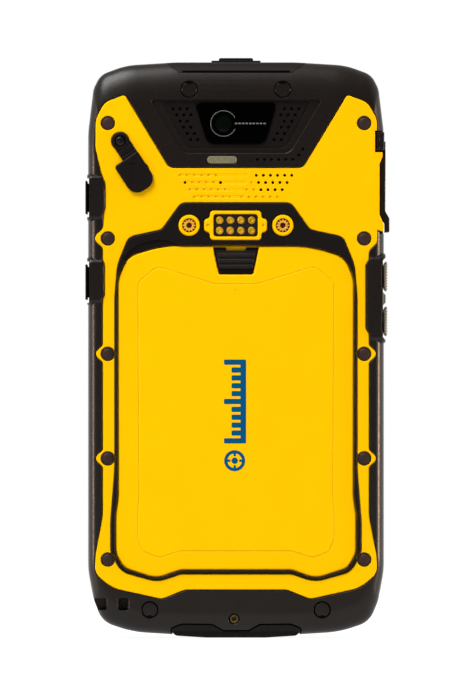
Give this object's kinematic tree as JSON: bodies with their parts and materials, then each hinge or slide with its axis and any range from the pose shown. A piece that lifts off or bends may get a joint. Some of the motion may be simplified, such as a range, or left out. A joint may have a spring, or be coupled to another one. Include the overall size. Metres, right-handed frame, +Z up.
{
  "type": "data collector",
  "caption": "Rugged handheld data collector with a touch screen, rear camera, battery door with a sliding latch, rubber port covers and side keys.",
  "frame": {"origin": "middle of the bounding box, on the surface that the instrument stands on with its lower edge", "axes": "+Z up along the length, -Y out of the screen, +Y out of the battery door, +X to the left as seen from behind"},
  "size_m": [0.0813, 0.025, 0.155],
  "materials": {
    "yellow_plastic": "moulded polycarbonate blend, fine matt texture",
    "black_plastic": "textured black polycarbonate",
    "black_rubber": "matt elastomer",
    "screen_glass": "dark, glossy, printed border behind",
    "camera_glass": "glossy black window",
    "camera_barrel": "dark lens barrel",
    "flash_diffuser": "ribbed pale diffuser",
    "gold_contacts": "gold plated",
    "brass_inserts": "knurled brass",
    "steel": "nickel plated",
    "circuit_board": "solder resist",
    "battery_wrap": "wrapped lithium ion pack",
    "antenna_ceramic": "patch antenna",
    "screw_brown": "dark brown coated screw heads",
    "ribbed_grey": "ribbed key caps"
  },
  "bodies": {
    "housing": {"rear_housing": "yellow_plastic", "front_housing": "black_plastic", "bumper_frame": "black_plastic", "top_plate": "black_plastic", "contact_insert": "black_plastic", "audio_jack": "black_plastic", "battery_connector": "black_plastic", "speaker": "black_plastic", "earpiece": "black_plastic", "cap_plug_01": "black_plastic", "cap_plug_02": "black_plastic", "cap_plug_03": "black_plastic", "cap_plug_04": "black_plastic", "rear_overmould": "black_rubber", "dock_cover": "black_rubber", "antenna_flap_anchor": "black_rubber", "port_door_anchor": "black_rubber", "housing_seal": "black_rubber", "door_seal": "black_rubber", "keypad_membrane": "black_rubber", "display_window": "screen_glass", "camera_window": "camera_glass", "camera_module": "camera_barrel", "flash_lens": "flash_diffuser", "contact_pads": "gold_contacts", "antenna_jack": "gold_contacts", "threaded_insert_left": "brass_inserts", "threaded_insert_right": "brass_inserts", "chin_insert": "brass_inserts", "antenna_flap_screw": "steel", "usb_socket": "steel", "board_shield": "steel", "vibration_motor": "steel", "display_module": "steel", "main_board": "circuit_board", "battery_pack": "battery_wrap", "gnss_antenna": "antenna_ceramic", "rear_screw_01": "screw_brown", "rear_screw_02": "screw_brown", "rear_screw_03": "screw_brown", "rear_screw_04": "screw_brown", "rear_screw_05": "screw_brown", "rear_screw_06": "screw_brown", "rear_screw_07": "screw_brown", "rear_screw_08": "screw_brown", "rear_screw_09": "screw_brown", "rear_screw_10": "screw_brown"},
    "door": {"battery_door": "yellow_plastic"},
    "latch": {"door_latch": "black_plastic"},
    "antenna_flap_body": {"antenna_flap": "black_rubber"},
    "port_door_body": {"port_door": "black_rubber"},
    "upper_side_key_body": {"upper_side_key": "black_plastic"},
    "lower_side_key_body": {"lower_side_key": "black_plastic"},
    "volume_up_key_body": {"volume_up_key": "ribbed_grey"},
    "volume_down_key_body": {"volume_down_key": "ribbed_grey"},
    "power_key_body": {"power_key": "black_plastic"},
    "home_key_body": {"home_key": "black_rubber"},
    "back_key_body": {"back_key": "black_rubber"},
    "menu_key_body": {"menu_key": "black_rubber"},
    "ok_key_body": {"ok_key": "black_rubber"}
  },
  "joints": [
    {"name": "door_hinge", "type": "hinge", "parent": "housing", "child": "door", "pos_m": [0, 0.0116, 0.0159], "axis": [-1, 0, 0], "range_deg": [0, 50]},
    {"name": "latch_slide", "type": "slide", "parent": "door", "child": "latch", "axis": [0, 0, -1], "range_m": [0, 0.0015], "stiffness_N_per_m": 1000},
    {"name": "antenna_flap_hinge", "type": "hinge", "parent": "housing", "child": "antenna_flap_body", "pos_m": [0.02904, 0.0122, 0.12975], "axis": [0.8379, 0, -0.5459], "range_deg": [0, 110], "stiffness_Nm_per_rad": 0.002},
    {"name": "port_door_hinge", "type": "hinge", "parent": "housing", "child": "port_door_body", "pos_m": [-0.04, 0, 0.13], "axis": [0, 1, 0], "range_deg": [0, 100], "stiffness_Nm_per_rad": 0.004},
    {"name": "upper_side_key_press", "type": "slide", "parent": "housing", "child": "upper_side_key_body", "axis": [-1, 0, 0], "range_m": [0, 0.0005], "stiffness_N_per_m": 1500},
    {"name": "lower_side_key_press", "type": "slide", "parent": "housing", "child": "lower_side_key_body", "axis": [-1, 0, 0], "range_m": [0, 0.0005], "stiffness_N_per_m": 1500},
    {"name": "volume_up_key_press", "type": "slide", "parent": "housing", "child": "volume_up_key_body", "axis": [1, 0, 0], "range_m": [0, 0.0005], "stiffness_N_per_m": 1500},
    {"name": "volume_down_key_press", "type": "slide", "parent": "housing", "child": "volume_down_key_body", "axis": [1, 0, 0], "range_m": [0, 0.0005], "stiffness_N_per_m": 1500},
    {"name": "power_key_press", "type": "slide", "parent": "housing", "child": "power_key_body", "axis": [0, 0, -1], "range_m": [0, 0.0005], "stiffness_N_per_m": 1500},
    {"name": "home_key_press", "type": "slide", "parent": "housing", "child": "home_key_body", "axis": [0, 1, 0], "range_m": [0, 0.0005], "stiffness_N_per_m": 1500},
    {"name": "back_key_press", "type": "slide", "parent": "housing", "child": "back_key_body", "axis": [0, 1, 0], "range_m": [0, 0.0005], "stiffness_N_per_m": 1500},
    {"name": "menu_key_press", "type": "slide", "parent": "housing", "child": "menu_key_body", "axis": [0, 1, 0], "range_m": [0, 0.0005], "stiffness_N_per_m": 1500},
    {"name": "ok_key_press", "type": "slide", "parent": "housing", "child": "ok_key_body", "axis": [0, 1, 0], "range_m": [0, 0.0005], "stiffness_N_per_m": 1500}
  ]
}
